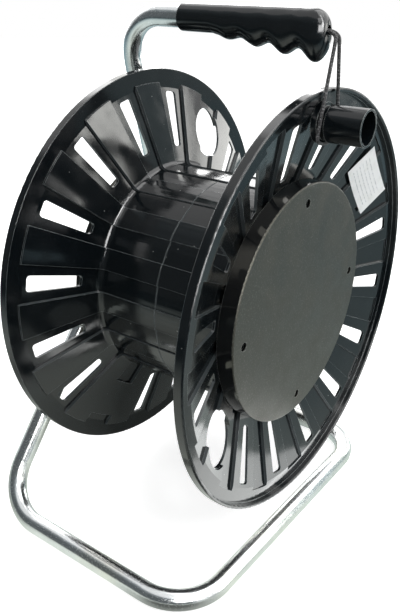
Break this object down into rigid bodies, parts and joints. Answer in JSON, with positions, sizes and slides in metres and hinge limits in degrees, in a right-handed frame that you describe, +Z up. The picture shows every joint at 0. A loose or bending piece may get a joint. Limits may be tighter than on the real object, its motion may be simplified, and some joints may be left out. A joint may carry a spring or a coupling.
{
  "type": "cable reel",
  "caption": "Empty cable reel: slotted, dished plastic drum with crank knob, turning on an axle carried by a bent steel tube stand with a finger grip and a lock cord.",
  "frame": {"origin": "on the floor under the middle of the reel's box, taken without the cord", "axes": "+X along the drum's axis from the stand's upright side to the crank side, +Y to the rear where the upright comes down, +Z up"},
  "size_m": [0.263, 0.391, 0.4631],
  "materials": {
    "zinc_tube": "bright zinc-plated tube",
    "axle_steel": "turned steel",
    "drum_plastic": "black, glossy, moulded",
    "cover_plastic": "dark grey, fine matte grain",
    "grip_plastic": "black, soft gloss",
    "cord_braid": "black braided elastic cord"
  },
  "bodies": {
    "frame": {"frame_tube": "zinc_tube", "axle_plate": "zinc_tube", "axle": "axle_steel", "axle_retainer": "axle_steel", "handle_grip": "grip_plastic", "lock_cord": "cord_braid"},
    "drum": {"drum_half_left": "drum_plastic", "drum_half_right": "drum_plastic", "cover_left": "cover_plastic", "cover_right": "cover_plastic", "crank_knob": "grip_plastic"}
  },
  "joints": [
    {"name": "drum_spin", "type": "hinge", "parent": "frame", "child": "drum", "pos_m": [-0.0025, 0.0055, 0.215], "axis": [1, 0, 0], "continuous": true}
  ]
}
